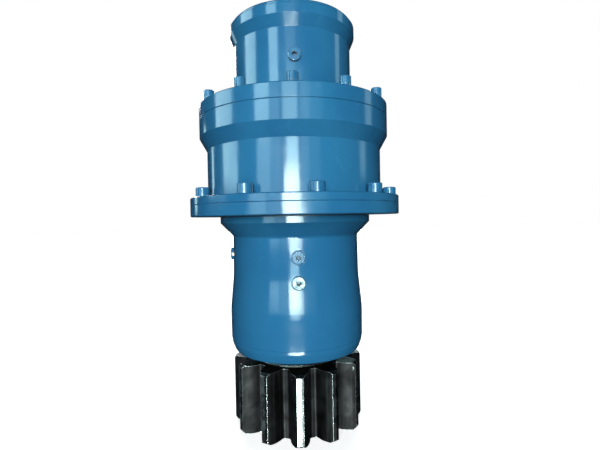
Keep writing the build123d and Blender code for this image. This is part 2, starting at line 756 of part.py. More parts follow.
# ---------------------------------------------------------------- output shaft and its bearings
roller_bearing("lower_bearing", 60, 71, 89, LOWER_BORE_R - GAP, LOWER_BEARING_Z, 20)
roller_bearing("upper_bearing", 50, 59, 75, UPPER_BORE_R - GAP, UPPER_BEARING_Z, 18)

# pinion and shaft in one forging, with bearing seats and a spline for the output carrier
pinion_tooth_width = PINION_MODULE * (pi / 2 + 2 * PINION_SHIFT * tan(PRESSURE_ANGLE))
pinion_teeth = gear_outline(
    PINION_MODULE, PINION_TEETH, PINION_ROOT_R, PINION_TIP_R, pinion_tooth_width, fillet_r=5.0
).rotate(Axis.Z, PINION_PHASE)
shaft_spline = spline_outline(*CARRIER_SPLINE)
pinion_bottom, pinion_top = PINION_Z
with BuildPart() as output_pinion_shaft:
    with BuildSketch(Plane.XY.offset(pinion_bottom)):
        add(pinion_teeth)
    extrude(amount=pinion_top - pinion_bottom)
    # the ends of the teeth are bevelled
    with BuildSketch(Plane.XZ):
        with BuildLine():
            Polyline(
                (0, pinion_bottom),
                (PINION_TIP_R - TOOTH_BEVEL, pinion_bottom),
                (PINION_TIP_R + 1, pinion_bottom + TOOTH_BEVEL + 1),
                (PINION_TIP_R + 1, pinion_top - TOOTH_BEVEL - 1),
                (PINION_TIP_R - TOOTH_BEVEL, pinion_top),
                (0, pinion_top),
                close=True,
            )
        make_face()
    revolve(axis=Axis.Z, mode=Mode.INTERSECT)
    with BuildSketch(Plane.XZ):
        with BuildLine():
            Polyline(
                (0, pinion_top - 1),
                (SEAL_JOURNAL_R + 6, pinion_top - 1),
                (SEAL_JOURNAL_R + 6, pinion_top + 2),
                (SEAL_JOURNAL_R, pinion_top + 8),
                (SEAL_JOURNAL_R, LOWER_BEARING_Z[0]),
                (60, LOWER_BEARING_Z[0]),
                (60, LOWER_BEARING_Z[1]),
                (55, LOWER_BEARING_Z[1]),
                (55, UPPER_BEARING_Z[0] - 4),
                (50, UPPER_BEARING_Z[0] - 4),
                (50, UPPER_BEARING_Z[1]),
                (48, UPPER_BEARING_Z[1]),
                (48, 9),
                (0, 9),
                close=True,
            )
        make_face()
    revolve(axis=Axis.Z)
    with BuildSketch(Plane.XY.offset(9)):
        add(shaft_spline)
    extrude(amount=27)
    # centre holes of the turning operation
    with BuildSketch(Plane.XY.offset(pinion_bottom)):
        Circle(8)
    extrude(amount=14, mode=Mode.SUBTRACT)
    with BuildSketch(Plane.XY.offset(36)):
        Circle(8)
    extrude(amount=-14, mode=Mode.SUBTRACT)
output_pinion_shaft.part.label = "output_pinion_shaft"
export_step(output_pinion_shaft.part, "parts/output_pinion_shaft.step")

bearing_spacer = tube(55.2, 64, LOWER_BEARING_Z[1], UPPER_BEARING_Z[0])
bearing_spacer.label = "bearing_spacer"
export_step(bearing_spacer, "parts/bearing_spacer.step")

# slotted nut that clamps the inner rings
with BuildPart() as bearing_lock_nut:
    with BuildSketch(Plane.XY.offset(UPPER_BEARING_Z[1])):
        Circle(66)
        Circle(48 + GAP, mode=Mode.SUBTRACT)
        with PolarLocations(66, 4, 45):
            Rectangle(8, 10, mode=Mode.SUBTRACT)
    extrude(amount=12.5)
bearing_lock_nut.part.label = "bearing_lock_nut"
export_step(bearing_lock_nut.part, "parts/bearing_lock_nut.step")

# ---------------------------------------------------------------- output stage
carrier_bore = spline_outline(*CARRIER_SPLINE, grow=0.05)

# cage of the last stage: two plates joined by round columns, with a spline for the output shaft
with BuildPart() as output_carrier:
    with BuildSketch(Plane.XY.offset(10)):
        Circle(122)
    extrude(amount=28)
    chamfer(output_carrier.edges().group_by(Axis.Z)[0], 2)
    with BuildSketch(Plane.XY.offset(102)):
        Circle(122)
    extrude(amount=10)
    with BuildSketch(Plane.XY.offset(38)):
        with PolarLocations(102, OUTPUT_PLANETS, FRONT + 45):
            Circle(18)
    extrude(amount=64)
    with BuildSketch(Plane.XY.offset(102)):
        Circle(54)
    extrude(amount=10, mode=Mode.SUBTRACT)
    with BuildSketch(Plane.XY.offset(10)):
        add(carrier_bore)
    extrude(amount=28, mode=Mode.SUBTRACT)
    with BuildSketch(Plane.XY.offset(14)):
        with PolarLocations(MAIN_CENTRES, OUTPUT_PLANETS, FRONT):
            Circle(20)
    extrude(amount=98, mode=Mode.SUBTRACT)
output_carrier.part.label = "output_carrier"
export_step(output_carrier.part, "parts/output_carrier.step")

planet_supports("output", MAIN_CENTRES, OUTPUT_PLANETS, 20, 25, (14, 112), OUTPUT_GEAR_Z)
planets(
    "output",
    MAIN_MODULE,
    MAIN_SUN_TEETH,
    MAIN_PLANET_TEETH,
    MAIN_BACKLASH,
    OUTPUT_PLANETS,
    25 + GAP,
    OUTPUT_GEAR_Z,
)
sun_gear("output", OUTPUT_GEAR_Z[0], OUTPUT_GEAR_Z[1] + 1, 125)

# ---------------------------------------------------------------- intermediate stage
plate_carrier("intermediate", 122, 114, 125, MAIN_CENTRES, 18)
planet_supports("intermediate", MAIN_CENTRES, UPPER_PLANETS, 18, 23, (114, 160.5), MIDDLE_GEAR_Z)
planets(
    "intermediate",
    MAIN_MODULE,
    MAIN_SUN_TEETH,
    MAIN_PLANET_TEETH,
    MAIN_BACKLASH,
    UPPER_PLANETS,
    23 + GAP,
    MIDDLE_GEAR_Z,
)
sun_gear("intermediate", MIDDLE_GEAR_Z[0], MIDDLE_GEAR_Z[1], 172.5)

# ---------------------------------------------------------------- input stage
plate_carrier("input", 76, 161.5, 172.5, INPUT_CENTRES, 11)
planet_supports("input", INPUT_CENTRES, UPPER_PLANETS, 11, 14, (161.5, 204.5), INPUT_GEAR_Z)
planets(
    "input",
    INPUT_MODULE,
    INPUT_SUN_TEETH,
    INPUT_PLANET_TEETH,
    INPUT_BACKLASH,
    UPPER_PLANETS,
    14 + GAP,
    INPUT_GEAR_Z,
)

# ring gear of the first stage, a separate ring in the brake housing
input_ring_spaces = internal_gear(
    INPUT_MODULE,
    INPUT_RING_TEETH,
    INPUT_BACKLASH,
    ring_phase(INPUT_SUN_TEETH, INPUT_PLANET_TEETH, INPUT_RING_TEETH),
)
with BuildPart() as input_ring_gear:
    with BuildSketch(Plane.XY.offset(INPUT_RING_Z[0])):
        Circle(INPUT_RING_R - GAP)
        add(input_ring_spaces, mode=Mode.SUBTRACT)
    extrude(amount=INPUT_RING_Z[1] - INPUT_RING_Z[0])
input_ring_gear.part.label = "input_ring_gear"
export_step(input_ring_gear.part, "parts/input_ring_gear.step")

# input shaft: first sun, splined brake hub, bearing journal and the keyed bore for the motor
input_sun_teeth = external_gear(INPUT_MODULE, INPUT_SUN_TEETH, INPUT_BACKLASH, FRONT)
hub_spline = spline_outline(*HUB_SPLINE)
with BuildPart() as input_shaft:
    with BuildSketch(Plane.XY.offset(INPUT_GEAR_Z[0])):
        add(input_sun_teeth)
    extrude(amount=INPUT_GEAR_Z[1] - INPUT_GEAR_Z[0])
    with BuildSketch(Plane.XZ):
        with BuildLine():
            Polyline(
                (0, INPUT_GEAR_Z[1]),
                (19, INPUT_GEAR_Z[1]),
                (19, BRAKE_FLOOR + 0.5),
                (30, BRAKE_FLOOR + 0.5),
                (30, 262),
                (27, 266),
                (27, INPUT_BEARING_Z[0]),
                (25, INPUT_BEARING_Z[0]),
                (25, INPUT_TOP - 1),
                (24, INPUT_TOP),
                (0, INPUT_TOP),
                close=True,
            )
        make_face()
    revolve(axis=Axis.Z)
    with BuildSketch(Plane.XY.offset(BRAKE_FLOOR + 0.5)):
        add(hub_spline)
    extrude(amount=33)
    with BuildSketch(Plane.XY.offset(INPUT_TOP)):
        Circle(MOTOR_SHAFT_R)
        with Locations((KEY_TOP_R / 2, 0)):
            Rectangle(KEY_TOP_R, KEY_WIDTH)
    extrude(amount=-MOTOR_SHAFT_DEPTH, mode=Mode.SUBTRACT)
input_shaft.part.label = "input_shaft"
export_step(input_shaft.part, "parts/input_shaft.step")

# deep-groove ball bearing of the input shaft: two grooved rings and the balls
ball_track = torus(BALL_CIRCLE_R, BALL_R + GAP, BALL_Z)
with BuildPart() as input_bearing_inner_ring:
    with BuildSketch(Plane.XY.offset(BALL_Z - 6.85)):
        Circle(BALL_CIRCLE_R - BALL_R / 2)
        Circle(25, mode=Mode.SUBTRACT)
    extrude(amount=13.7)
    add(ball_track, mode=Mode.SUBTRACT)
input_bearing_inner_ring.part.label = "input_bearing_inner_ring"
export_step(input_bearing_inner_ring.part, "parts/input_bearing_inner_ring.step")

with BuildPart() as input_bearing_outer_ring:
    with BuildSketch(Plane.XY.offset(BALL_Z - 6.85)):
        Circle(40 - GAP)
        Circle(BALL_CIRCLE_R + BALL_R / 2, mode=Mode.SUBTRACT)
    extrude(amount=13.7)
    add(ball_track, mode=Mode.SUBTRACT)
input_bearing_outer_ring.part.label = "input_bearing_outer_ring"
export_step(input_bearing_outer_ring.part, "parts/input_bearing_outer_ring.step")

with BuildPart() as input_bearing_balls:
    with Locations((0, 0, BALL_Z)):
        with PolarLocations(BALL_CIRCLE_R, 11):
            Sphere(BALL_R)
input_bearing_balls.part.label = "input_bearing_balls"
export_step(input_bearing_balls.part, "parts/input_bearing_balls.step")

input_bearing_circlip = snap_ring(37, 41.4, 333, 334.8, 10)
input_bearing_circlip.label = "input_bearing_circlip"
export_step(input_bearing_circlip, "parts/input_bearing_circlip.step")

# ---------------------------------------------------------------- brake
disc_pitch = OUTER_DISC_T + INNER_DISC_T + 2 * DISC_GAP
stack_floor = BRAKE_FLOOR + 0.1

# steel discs, splined to the housing
outer_disc_spline = spline_outline(*DISC_SPLINE)
with BuildPart() as brake_outer_discs:
    for number in range(OUTER_DISCS):
        with BuildSketch(Plane.XY.offset(stack_floor + number * disc_pitch)):
            add(outer_disc_spline)
            Circle(46, mode=Mode.SUBTRACT)
        extrude(amount=OUTER_DISC_T)
brake_outer_discs.part.label = "brake_outer_discs"
export_step(brake_outer_discs.part, "parts/brake_outer_discs.step")

# lined discs, splined to the hub of the input shaft
inner_disc_bore = spline_outline(*HUB_SPLINE, grow=0.1)
with BuildPart() as brake_inner_discs:
    for number in range(OUTER_DISCS - 1):
        with BuildSketch(Plane.XY.offset(stack_floor + OUTER_DISC_T + DISC_GAP + number * disc_pitch)):
            Circle(70)
            add(inner_disc_bore, mode=Mode.SUBTRACT)
        extrude(amount=INNER_DISC_T)
brake_inner_discs.part.label = "brake_inner_discs"
export_step(brake_inner_discs.part, "parts/brake_inner_discs.step")

# stepped brake piston, with pockets for the springs and grooves for its seals
piston_face, piston_shoulder, piston_top = PISTON_Z
with BuildPart() as brake_piston:
    with BuildSketch(Plane.XZ):
        with BuildLine():
            Polyline(
                (48, piston_face),
                (SEAL_BORE_R - 6, piston_face),
                (SEAL_BORE_R - 6, SEAL_BORE_Z + 0.4),
                (SEAL_BORE_R - GAP, SEAL_BORE_Z + 0.4),
                (SEAL_BORE_R - GAP, piston_shoulder),
                (PISTON_BORE_R - GAP, piston_shoulder),
                (PISTON_BORE_R - GAP, piston_top),
                (48, piston_top),
                close=True,
            )
        make_face()
    revolve(axis=Axis.Z)
    with BuildSketch(Plane.XY.offset(284)):
        Circle(PISTON_BORE_R)
        Circle(PISTON_BORE_R - 3.5, mode=Mode.SUBTRACT)
    extrude(amount=5, mode=Mode.SUBTRACT)
    with BuildSketch(Plane.XY.offset(252)):
        Circle(SEAL_BORE_R)
        Circle(SEAL_BORE_R - 3, mode=Mode.SUBTRACT)
    extrude(amount=3, mode=Mode.SUBTRACT)
    with BuildSketch(Plane.XY.offset(piston_top)):
        with PolarLocations(SPRING_CIRCLE_R, SPRINGS, FRONT):
            Circle(SPRING_R + 1)
    extrude(amount=SPRING_Z[0] - piston_top, mode=Mode.SUBTRACT)
brake_piston.part.label = "brake_piston"
export_step(brake_piston.part, "parts/brake_piston.step")

with BuildPart() as piston_seals:
    with BuildSketch(Plane.XY.offset(284.2)):
        Circle(PISTON_BORE_R - GAP)
        Circle(PISTON_BORE_R - 3.4, mode=Mode.SUBTRACT)
    extrude(amount=4.6)
    with BuildSketch(Plane.XY.offset(252.2)):
        Circle(SEAL_BORE_R - GAP)
        Circle(SEAL_BORE_R - 2.9, mode=Mode.SUBTRACT)
    extrude(amount=2.6)
piston_seals.part.label = "piston_seals"
export_step(piston_seals.part, "parts/piston_seals.step")

# brake springs, between the piston's pockets and the motor flange
with BuildPart() as brake_spring:
    with BuildLine():
        coil = Helix(
            pitch=6.0,
            height=SPRING_Z[1] - SPRING_Z[0] - 2 * SPRING_WIRE_R - 0.4,
            radius=SPRING_R - SPRING_WIRE_R,
            center=(0, 0, SPRING_Z[0] + SPRING_WIRE_R + 0.2),
        )
    with BuildSketch(Plane(origin=coil @ 0, z_dir=coil % 0)):
        Circle(SPRING_WIRE_R)
    sweep(is_frenet=True)
with BuildPart() as brake_springs:
    with PolarLocations(SPRING_CIRCLE_R, SPRINGS, FRONT):
        add(brake_spring.part)
brake_springs.part.label = "brake_springs"
export_step(brake_springs.part, "parts/brake_springs.step")
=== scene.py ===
from math import cos, pi, radians, sin, tan

import bpy
from mathutils import Matrix, Vector


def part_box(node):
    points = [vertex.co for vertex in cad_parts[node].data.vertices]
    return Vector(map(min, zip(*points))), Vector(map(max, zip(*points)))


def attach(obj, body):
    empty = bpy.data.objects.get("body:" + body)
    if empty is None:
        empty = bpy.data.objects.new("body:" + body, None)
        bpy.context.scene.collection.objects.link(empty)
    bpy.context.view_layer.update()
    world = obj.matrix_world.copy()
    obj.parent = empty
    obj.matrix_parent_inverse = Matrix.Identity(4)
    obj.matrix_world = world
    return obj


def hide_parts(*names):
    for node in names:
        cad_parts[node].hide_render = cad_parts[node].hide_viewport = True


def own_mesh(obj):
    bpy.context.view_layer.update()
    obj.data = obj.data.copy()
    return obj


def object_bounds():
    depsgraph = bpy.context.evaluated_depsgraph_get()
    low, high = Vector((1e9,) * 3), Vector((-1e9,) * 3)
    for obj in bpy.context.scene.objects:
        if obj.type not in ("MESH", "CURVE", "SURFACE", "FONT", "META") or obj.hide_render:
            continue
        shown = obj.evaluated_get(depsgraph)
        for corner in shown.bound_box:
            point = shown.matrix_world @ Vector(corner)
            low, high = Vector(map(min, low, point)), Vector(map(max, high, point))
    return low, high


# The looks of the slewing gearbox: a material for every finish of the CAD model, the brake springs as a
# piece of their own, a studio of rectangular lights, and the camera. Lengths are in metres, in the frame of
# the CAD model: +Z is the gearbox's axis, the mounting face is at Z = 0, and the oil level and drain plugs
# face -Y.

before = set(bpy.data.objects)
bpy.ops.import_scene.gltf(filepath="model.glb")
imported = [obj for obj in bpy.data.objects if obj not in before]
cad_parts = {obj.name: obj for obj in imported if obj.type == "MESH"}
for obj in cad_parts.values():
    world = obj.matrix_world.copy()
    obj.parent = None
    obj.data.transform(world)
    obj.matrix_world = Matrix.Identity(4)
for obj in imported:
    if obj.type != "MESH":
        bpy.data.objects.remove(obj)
cad_low, cad_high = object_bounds()

MM = 0.001

FLANGE_R = cad_high.x
FLANGE_JOINT_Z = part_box("ring_gear_housing")[0].z
HEAD_JOINT_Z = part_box("ring_gear_housing")[1].z
TOP_JOINT_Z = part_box("brake_housing")[1].z
PINION_LOW, PINION_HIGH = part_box("output_pinion_shaft")
PINION_TIP_R = max(abs(value) for value in (PINION_LOW.x, PINION_HIGH.x, PINION_LOW.y, PINION_HIGH.y))
PINION_TEETH = 12
PINION_WIDTH = 118 * MM
TEETH_TOP_Z = PINION_LOW.z + PINION_WIDTH


def add_object(name, data):
    """A new object in the scene."""
    made = bpy.data.objects.new(name, data)
    bpy.context.scene.collection.objects.link(made)
    return made


# ---------------------------------------------------------------- node helpers
# the sockets of a Mix node that mixes colours
MIX_FIRST = 6
MIX_SECOND = 7
MIX_RESULT = 2


class Nodes:
    """Short calls for the nodes of one tree."""

    def __init__(self, tree):
        self.tree = tree

    def put(self, socket, value):
        """Links a node's output to a socket, or sets the socket to a plain value."""
        if isinstance(value, bpy.types.NodeSocket):
            self.tree.links.new(value, socket)
        else:
            socket.default_value = value

    def mix(self, share, first, second):
        """The first colour at a share of 0 and the second at 1."""
        node = self.tree.nodes.new("ShaderNodeMix")
        node.data_type = "RGBA"
        self.put(node.inputs[0], share)
        self.put(node.inputs[MIX_FIRST], first)
        self.put(node.inputs[MIX_SECOND], second)
        return node.outputs[MIX_RESULT]


class Finish(Nodes):
    """A material with a Principled shader, and short calls for its texture nodes. Textures follow the
    object's own coordinates, which for a CAD node are those of the whole gearbox."""

    def __init__(self, name, metallic, roughness):
        self.material = bpy.data.materials.new(name)
        self.material.use_nodes = True
        super().__init__(self.material.node_tree)
        self.shader = self.tree.nodes["Principled BSDF"]
        self.metallic(metallic)
        self.roughness(roughness)
        self.place = self.tree.nodes.new("ShaderNodeTexCoord").outputs["Object"]

    def math(self, operation, a, b=0.0, clamp=False):
        node = self.tree.nodes.new("ShaderNodeMath")
        node.operation = operation
        node.use_clamp = clamp
        self.put(node.inputs[0], a)
        self.put(node.inputs[1], b)
        return node.outputs[0]

    def stretched(self, x, y, z):
        """The coordinates multiplied along each axis."""
        node = self.tree.nodes.new("ShaderNodeMapping")
        self.put(node.inputs["Vector"], self.place)
        node.inputs["Scale"].default_value = (x, y, z)
        return node.outputs[0]

    def noise(self, scale, detail, vector=None, distortion=0.0):
        """Clouds from 0 to 1, about 1 / scale across."""
        node = self.tree.nodes.new("ShaderNodeTexNoise")
        self.put(node.inputs["Vector"], vector or self.place)
        node.inputs["Scale"].default_value = scale
        node.inputs["Detail"].default_value = detail
        node.inputs["Distortion"].default_value = distortion
        return node.outputs["Fac"]

    def cells(self, scale):
        """The distance to the middle of the nearest of many scattered cells."""
        node = self.tree.nodes.new("ShaderNodeTexVoronoi")
        self.put(node.inputs["Vector"], self.place)
        node.inputs["Scale"].default_value = scale
        return node.outputs["Distance"]

    def span(self, value, low, high, to_low=0.0, to_high=1.0):
        """Value taken from one range to another, smoothly and with no overshoot."""
        node = self.tree.nodes.new("ShaderNodeMapRange")
        node.interpolation_type = "SMOOTHSTEP"
        self.put(node.inputs["Value"], value)
        node.inputs["From Min"].default_value = low
        node.inputs["From Max"].default_value = high
        node.inputs["To Min"].default_value = to_low
        node.inputs["To Max"].default_value = to_high
        return node.outputs["Result"]

    def split_place(self):
        """The X, Y and Z of the place."""
        split = self.tree.nodes.new("ShaderNodeSeparateXYZ")
        self.put(split.inputs[0], self.place)
        return split.outputs

    def axis_values(self):
        """The height, and the distance from the gearbox's axis."""
        x, y, z = self.split_place()
        flat = self.tree.nodes.new("ShaderNodeCombineXYZ")
        self.put(flat.inputs[0], x)
        self.put(flat.inputs[1], y)
        length = self.tree.nodes.new("ShaderNodeVectorMath")
        length.operation = "LENGTH"
        self.put(length.inputs[0], flat.outputs[0])
        return z, length.outputs["Value"]

    def edges(self, radius):
        """1 on the edges of the shape and 0 on its faces, within a radius of the edge."""
        rounded = self.tree.nodes.new("ShaderNodeBevel")
        rounded.samples = 6
        rounded.inputs["Radius"].default_value = radius
        flat = self.tree.nodes.new("ShaderNodeNewGeometry")
        product = self.tree.nodes.new("ShaderNodeVectorMath")
        product.operation = "DOT_PRODUCT"
        self.put(product.inputs[0], rounded.outputs[0])
        self.put(product.inputs[1], flat.outputs["Normal"])
        return self.span(product.outputs["Value"], 0.99, 0.9)

    def hollows(self, reach):
        """1 in the recesses of the shape, such as a socket or the foot of a step, and 0 on open faces."""
        shaded = self.tree.nodes.new("ShaderNodeAmbientOcclusion")
        shaded.samples = 8
        shaded.only_local = True
        shaded.inputs["Distance"].default_value = reach
        return self.span(shaded.outputs["AO"], 0.35, 0.8, 1.0, 0.0)

    def sector_place(self, count):
        """Where a point lies in its own one of count equal sectors round the axis, 0 to 1 as the angle
        grows. The -Y axis is the middle of a sector."""
        x, y, _ = self.split_place()
        turn = self.math("ARCTAN2", x, self.math("MULTIPLY", y, -1.0))
        sectors = self.math("MULTIPLY", turn, count / (2 * pi))
        return self.math("FRACT", self.math("ADD", sectors, count + 0.5))

    def bump(self, height, distance, strength, under=None):
        """The normal of a relief, laid over the normal under it."""
        node = self.tree.nodes.new("ShaderNodeBump")
        node.inputs["Strength"].default_value = strength
        node.inputs["Distance"].default_value = distance
        self.put(node.inputs["Height"], height)
        if under is not None:
            self.put(node.inputs["Normal"], under)
        return node.outputs["Normal"]

    def rounded_edges(self, radius):
        """The surface's normal with its edges softened to a radius."""
        node = self.tree.nodes.new("ShaderNodeBevel")
        node.samples = 4
        node.inputs["Radius"].default_value = radius
        return node.outputs[0]

    def colour(self, value):
        self.put(self.shader.inputs["Base Color"], value)

    def roughness(self, value):
        self.put(self.shader.inputs["Roughness"], value)

    def metallic(self, value):
        self.put(self.shader.inputs["Metallic"], value)

    def normal(self, value):
        self.put(self.shader.inputs["Normal"], value)


# ---------------------------------------------------------------- finishes
PAINT_IOR = 1.5
PAINT = (0.021, 0.135, 0.270, 1)
PAINT_DEEP = (0.016, 0.110, 0.238, 1)
PAINT_PALE = (0.034, 0.168, 0.325, 1)
# the dark of the oil and dust in the joints, also used as painted shade on the mounting face and in the
# screws' sockets
GRIME_AND_SHADE = (0.012, 0.038, 0.070, 1)
WORN_METAL = (0.60, 0.66, 0.70, 1)

ZINC_DULL = (0.085, 0.105, 0.12, 1)
ZINC_PALE = (0.24, 0.275, 0.295, 1)
ZINC_STAIN = (0.07, 0.07, 0.065, 1)
ZINC_EDGE = (0.72, 0.75, 0.77, 1)
# painted shade in the sockets of the zinc plugs
SOCKET_SHADE = (0.012, 0.014, 0.016, 1)

OIL_DARK = (0.014, 0.0125, 0.013, 1)
OIL_THIN = (0.036, 0.032, 0.034, 1)
OIL_STREAK = (0.085, 0.078, 0.081, 1)
# the tooth tips: a painted highlight, and the dull and dark colours of the painted shade beside it
TIP_PAINTED_HIGHLIGHT = (0.42, 0.42, 0.43, 1)
TIP_DULL = (0.045, 0.045, 0.047, 1)
TIP_DARK = (0.016, 0.016, 0.017, 1)
RUBBED_EDGE = (0.82, 0.81, 0.80, 1)

IRON_DARK = (0.20, 0.20, 0.205, 1)
IRON_PALE = (0.34, 0.34, 0.35, 1)
GRAPHITE = (0.07, 0.07, 0.07, 1)
BRONZE = (0.60, 0.38, 0.17, 1)
BRONZE_TARNISH = (0.36, 0.21, 0.10, 1)
COPPER = (0.70, 0.36, 0.22, 1)
COPPER_TARNISH = (0.42, 0.20, 0.12, 1)
RUBBER_BLACK = (0.012, 0.012, 0.012, 1)
RUBBER_BLOOM = (0.035, 0.034, 0.033, 1)
LINING_DARK = (0.10, 0.075, 0.05, 1)
LINING_PALE = (0.19, 0.14, 0.10, 1)
LINING_COPPER = (0.46, 0.27, 0.15, 1)


def gloss_paint(name, turned):
    """Sprayed gloss enamel. turned is how much the turning marks of the metal show through it."""
    paint = Finish(name, 0.0, 0.12)
    paint.put(paint.shader.inputs["IOR"], PAINT_IOR)
    height, radius = paint.axis_values()
    cloud = paint.span(paint.noise(9.0, 4.0), 0.35, 0.68)
    thin = paint.span(paint.noise(46.0, 5.0, distortion=0.6), 0.58, 0.8)
    base = paint.mix(cloud, PAINT_DEEP, PAINT)
    base = paint.mix(paint.math("MULTIPLY", thin, 0.45), base, PAINT_PALE)
    # painted shade: below its flange the lowest casting is blended halfway to the deep blue, standing in for
    # the flange's shade
    lower_casting_shade = paint.span(height, FLANGE_JOINT_Z - 60 * MM, FLANGE_JOINT_Z - 30 * MM, 0.5, 0.0)
    base = paint.mix(lower_casting_shade, base, PAINT_DEEP)

    # oil and dust hold in the joints between the castings; on the mounting face and round the spigot's foot,
    # under the flange, the same dark colour is painted shade
    seam = None
    for joint in (FLANGE_JOINT_Z, HEAD_JOINT_Z, TOP_JOINT_Z):
        away = paint.math("ABSOLUTE", paint.math("SUBTRACT", height, joint))
        line = paint.span(away, 0.35 * MM, 1.1 * MM, 1.0, 0.0)
        seam = line if seam is None else paint.math("MAXIMUM", seam, line)
    # painted shade: the whole mounting face and the foot of the spigot next to it are darkened
    at_face = paint.span(paint.math("ABSOLUTE", height), 1.0 * MM, 2.2 * MM, 1.0, 0.0)
    mounting_face_shade = paint.math("MULTIPLY", at_face, paint.span(radius, FLANGE_R - 0.5 * MM, FLANGE_R - 1.5 * MM))
    broken = paint.span(paint.noise(24.0, 4.0), 0.38, 0.62, 0.06, 0.5)
    dirt_and_shade = paint.math("MAXIMUM", paint.math("MULTIPLY", seam, broken), mounting_face_shade)
    paint.colour(paint.mix(dirt_and_shade, base, GRIME_AND_SHADE))

    smear = paint.span(paint.noise(14.0, 6.0, distortion=1.2), 0.4, 0.75, 0.115, 0.185)
    paint.roughness(paint.math("ADD", smear, paint.math("MULTIPLY", dirt_and_shade, 0.35)))

    soft = paint.rounded_edges(0.9 * MM)
    peel = paint.bump(paint.noise(420.0, 2.0), 0.035 * MM, 0.35, soft)
    sag = paint.bump(paint.noise(30.0, 3.0), 0.5 * MM, 0.17, peel)
    marks = paint.noise(1.0, 3.0, paint.stretched(5.0, 5.0, 420.0))
    paint.normal(paint.bump(marks, 0.10 * MM, turned, sag))
    return paint.material


def screw_paint(name):
    """The same enamel on the screws: worn to metal along the edges, darker with painted shade and rougher in
    the sockets, and with upright ribs, like those of a knurled head, as a bump."""
    paint = Finish(name, 0.0, 0.14)
    paint.put(paint.shader.inputs["IOR"], PAINT_IOR)
    worn = paint.math("MULTIPLY", paint.edges(0.8 * MM), paint.span(paint.noise(160.0, 4.0), 0.42, 0.56))
    base = paint.mix(paint.span(paint.noise(70.0, 3.0), 0.4, 0.65), PAINT_DEEP, PAINT)
    # painted shade: the screw's own recesses, found by ambient occlusion, are darkened to the
    # grime-and-shade colour
    socket = paint.hollows(5 * MM)
    paint.colour(paint.mix(socket, paint.mix(worn, base, WORN_METAL), GRIME_AND_SHADE))
    paint.metallic(paint.math("MULTIPLY", worn, 0.9))
    film = paint.span(paint.noise(90.0, 4.0), 0.35, 0.7, 0.10, 0.24)
    paint.roughness(paint.math("ADD", film, paint.math("MULTIPLY", socket, 0.5)))
    ribs = paint.noise(1.0, 1.0, paint.stretched(650.0, 650.0, 12.0))
    knurl = paint.bump(ribs, 0.3 * MM, 0.45, paint.rounded_edges(0.8 * MM))
    paint.normal(paint.bump(paint.noise(500.0, 2.0), 0.04 * MM, 0.4, knurl))
    return paint.material


def plated_steel(name):
    """Tarnished zinc plate: a blue passivation, bright on the edges, and darker with painted shade and
    rougher in the sockets.
    """
    zinc = Finish(name, 1.0, 0.3)
    tone = zinc.mix(zinc.span(zinc.noise(210.0, 4.0), 0.35, 0.65), ZINC_DULL, ZINC_PALE)
    stain = zinc.span(zinc.noise(120.0, 5.0, distortion=1.0), 0.52, 0.70)
    tone = zinc.mix(zinc.math("MULTIPLY", stain, 0.7), tone, ZINC_STAIN)
    tone = zinc.mix(zinc.edges(0.7 * MM), tone, ZINC_EDGE)
    # painted shade: the plug's own recesses, found by ambient occlusion, are darkened
    socket = zinc.hollows(5 * MM)
    zinc.colour(zinc.mix(socket, tone, SOCKET_SHADE))
    film = zinc.span(zinc.noise(330.0, 3.0), 0.3, 0.7, 0.26, 0.42)
    zinc.roughness(zinc.math("ADD", film, zinc.math("MULTIPLY", socket, 0.35)))
    zinc.normal(zinc.bump(zinc.cells(1500.0), 0.02 * MM, 0.4, zinc.rounded_edges(0.5 * MM)))
    return zinc.material


def pinion_steel(name):
    """Oil-blackened steel with rubbed edges and hobbing marks on the flanks. The tip of each tooth carries a
    painted highlight on one half, and painted shade, dull with dark specks, on the half where the angle
    grows."""
    steel = Finish(name, 1.0, 0.4)
    height, radius = steel.axis_values()
    streaks = steel.noise(1.0, 5.0, steel.stretched(150.0, 150.0, 6.0))
    cloud = steel.noise(38.0, 5.0, distortion=0.8)
    oil = steel.mix(steel.span(cloud, 0.3, 0.75), OIL_DARK, OIL_THIN)
    oil = steel.mix(steel.span(streaks, 0.52, 0.75, 0.0, 0.55), oil, OIL_STREAK)

    tip = steel.span(radius, PINION_TIP_R - 0.55 * MM, PINION_TIP_R - 0.15 * MM)
    specks = steel.span(steel.noise(330.0, 4.0), 0.50, 0.60)
    ragged = steel.math("MULTIPLY", steel.noise(1.0, 4.0, steel.stretched(60.0, 60.0, 700.0)), 0.12)
    side = steel.math("ADD", steel.sector_place(PINION_TEETH), ragged)
    # painted highlight and shade: each tooth's tip is bright on one half and dark with specks on the other
    shaded_half = steel.span(side, 0.535, 0.585)
    land = steel.mix(shaded_half, TIP_PAINTED_HIGHLIGHT, steel.mix(specks, TIP_DULL, TIP_DARK))
    scratched = steel.span(steel.noise(95.0, 5.0), 0.40, 0.58)
    rubbed = steel.math("MULTIPLY", steel.edges(1.1 * MM), steel.math("ADD", scratched, 0.45, clamp=True))
    nick = steel.span(steel.noise(70.0, 2.0), 0.70, 0.735)
    near_top = steel.span(height, TEETH_TOP_Z - 14 * MM, TEETH_TOP_Z - 6 * MM)
    bright = steel.math("MAXIMUM", rubbed, steel.math("MULTIPLY", nick, near_top))
    steel.colour(steel.mix(bright, steel.mix(tip, oil, land), RUBBED_EDGE))

    flank = steel.span(steel.noise(55.0, 4.0), 0.35, 0.7, 0.46, 0.60)
    polish = steel.math("MULTIPLY", steel.math("MAXIMUM", tip, bright), 0.24)
    steel.roughness(steel.math("SUBTRACT", flank, polish))
    soft = steel.rounded_edges(0.8 * MM)
    hob = steel.bump(steel.noise(1.0, 2.0, steel.stretched(60.0, 60.0, 420.0)), 0.12 * MM, 0.25, soft)
    steel.normal(steel.bump(steel.noise(260.0, 4.0), 0.06 * MM, 0.5, hob))
    return steel.material


